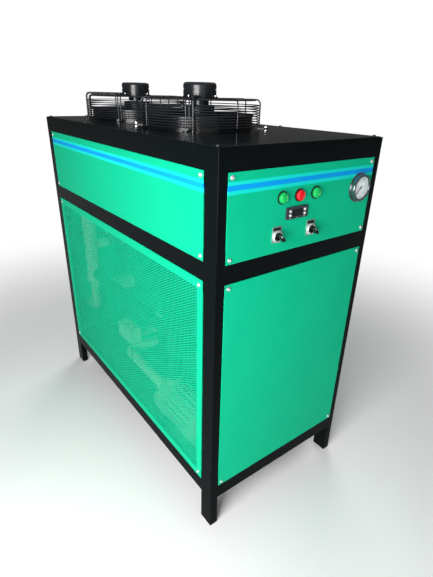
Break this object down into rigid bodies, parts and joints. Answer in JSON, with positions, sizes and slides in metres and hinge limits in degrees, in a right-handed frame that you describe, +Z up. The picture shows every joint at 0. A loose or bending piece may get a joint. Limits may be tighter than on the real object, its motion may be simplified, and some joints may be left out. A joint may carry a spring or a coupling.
{
  "type": "water chiller",
  "caption": "Air-cooled water chiller on legs: tube frame with sheet and perforated panels, guarded roof fans, a control panel with lamps, switches and gauge, and the cooling circuit inside.",
  "frame": {"origin": "on the floor under the middle of the frame", "axes": "+Z up; the control panel faces -Y; +X is to the right seen from the front"},
  "size_m": [0.5712, 1.1816, 1.2575],
  "materials": {
    "black_paint": "satin",
    "roof_paint": "gloss",
    "plug_plastic": "matte",
    "zinc_sheet": "satin",
    "green_paint": "gloss",
    "green_mesh": "gloss",
    "screw_steel": "polished",
    "lamp_plastic": "satin",
    "lens_green": "gloss",
    "lens_red": "gloss",
    "controller_plastic": "satin",
    "key_plastic": "satin",
    "bezel_chrome": "polished",
    "legend_sheet": "satin",
    "block_plastic": "matte",
    "knob_plastic": "gloss",
    "gauge_steel": "polished",
    "dial_paint": "matte",
    "needle_paint": "matte",
    "gauge_glass": "clear",
    "fan_paint": "satin",
    "rotor_sheet": "satin",
    "coil_fins": "satin",
    "compressor_paint": "gloss",
    "mount_rubber": "matte",
    "copper": "satin",
    "tank_foam": "matte",
    "lid_plastic": "matte",
    "pump_paint": "satin",
    "shaft_steel": "satin",
    "pipe_plastic": "satin",
    "brass": "satin",
    "lever_paint": "gloss",
    "gear_plastic": "satin",
    "switch_plastic": "satin",
    "hose_rubber": "matte"
  },
  "bodies": {
    "cabinet": {"corner_posts": "black_paint", "top_rails": "black_paint", "mid_rails": "black_paint", "base_rails": "black_paint", "post_plugs": "plug_plastic", "base_tray": "zinc_sheet", "panel_tabs": "black_paint", "top_sheet": "roof_paint", "control_panel": "green_paint", "front_panel": "green_paint", "left_upper_panel": "green_paint", "right_upper_panel": "green_paint", "rear_upper_panel": "green_paint", "left_mesh_frame": "green_paint", "right_mesh_frame": "green_paint", "left_mesh": "green_mesh", "right_mesh": "green_mesh", "rear_panel": "green_paint", "panel_screws": "screw_steel", "lamp_bodies": "lamp_plastic", "green_lenses": "lens_green", "red_lens": "lens_red", "controller_case": "controller_plastic", "selector_bezels": "bezel_chrome", "selector_legends": "legend_sheet", "selector_blocks": "block_plastic", "gauge_case": "gauge_steel", "gauge_dial": "dial_paint", "gauge_glass": "gauge_glass", "fan_shrouds": "fan_paint", "front_fan_guard": "fan_paint", "rear_fan_guard": "fan_paint", "fan_motors": "fan_paint", "fan_bolts": "screw_steel", "condenser_casing": "zinc_sheet", "condenser_coil": "coil_fins", "compressor": "compressor_paint", "compressor_mounts": "mount_rubber", "refrigerant_pipes": "copper", "water_tank": "tank_foam", "tank_lid": "lid_plastic", "pump": "pump_paint", "water_pipes": "pipe_plastic", "pump_hose": "hose_rubber", "water_ports": "brass", "valve_body": "brass", "switchgear": "gear_plastic", "pressure_switches": "switch_plastic", "cable_gland": "block_plastic"},
    "front_fan": {"front_fan_rotor": "rotor_sheet"},
    "rear_fan": {"rear_fan_rotor": "rotor_sheet"},
    "left_knob": {"selector_knob_left": "knob_plastic"},
    "right_knob": {"selector_knob_right": "knob_plastic"},
    "upper_left_key": {"key_upper_left": "key_plastic"},
    "lower_left_key": {"key_lower_left": "key_plastic"},
    "upper_right_key": {"key_upper_right": "key_plastic"},
    "lower_right_key": {"key_lower_right": "key_plastic"},
    "needle": {"gauge_needle": "needle_paint"},
    "pump_rotor": {"pump_shaft": "shaft_steel"},
    "valve_handle": {"valve_lever": "lever_paint"}
  },
  "joints": [
    {"name": "front_fan_spin", "type": "hinge", "parent": "cabinet", "child": "front_fan", "pos_m": [0, -0.092, 1.1315], "axis": [0, 0, 1], "continuous": true},
    {"name": "rear_fan_spin", "type": "hinge", "parent": "cabinet", "child": "rear_fan", "pos_m": [0, 0.338, 1.1315], "axis": [0, 0, 1], "continuous": true},
    {"name": "left_knob_turn", "type": "hinge", "parent": "cabinet", "child": "left_knob", "pos_m": [-0.1, -0.567, 0.916], "axis": [0, 1, 0], "range_deg": [0, 90]},
    {"name": "right_knob_turn", "type": "hinge", "parent": "cabinet", "child": "right_knob", "pos_m": [0.02, -0.567, 0.916], "axis": [0, 1, 0], "range_deg": [0, 90]},
    {"name": "upper_left_key_press", "type": "slide", "parent": "cabinet", "child": "upper_left_key", "axis": [0, 1, 0], "range_m": [0, 0.0008], "stiffness_N_per_m": 500},
    {"name": "lower_left_key_press", "type": "slide", "parent": "cabinet", "child": "lower_left_key", "axis": [0, 1, 0], "range_m": [0, 0.0008], "stiffness_N_per_m": 500},
    {"name": "upper_right_key_press", "type": "slide", "parent": "cabinet", "child": "upper_right_key", "axis": [0, 1, 0], "range_m": [0, 0.0008], "stiffness_N_per_m": 500},
    {"name": "lower_right_key_press", "type": "slide", "parent": "cabinet", "child": "lower_right_key", "axis": [0, 1, 0], "range_m": [0, 0.0008], "stiffness_N_per_m": 500},
    {"name": "needle_swing", "type": "hinge", "parent": "cabinet", "child": "needle", "pos_m": [0.201, -0.567, 1.003], "axis": [0, 1, 0], "range_deg": [0, 270], "stiffness_Nm_per_rad": 0.0002},
    {"name": "pump_spin", "type": "hinge", "parent": "cabinet", "child": "pump_rotor", "pos_m": [-0.19, -0.32, 0.2305], "axis": [0, 1, 0], "continuous": true},
    {"name": "valve_turn", "type": "hinge", "parent": "cabinet", "child": "valve_handle", "pos_m": [-0.087, 0.475, 0.6088], "axis": [0, 0, 1], "range_deg": [0, 90]}
  ]
}
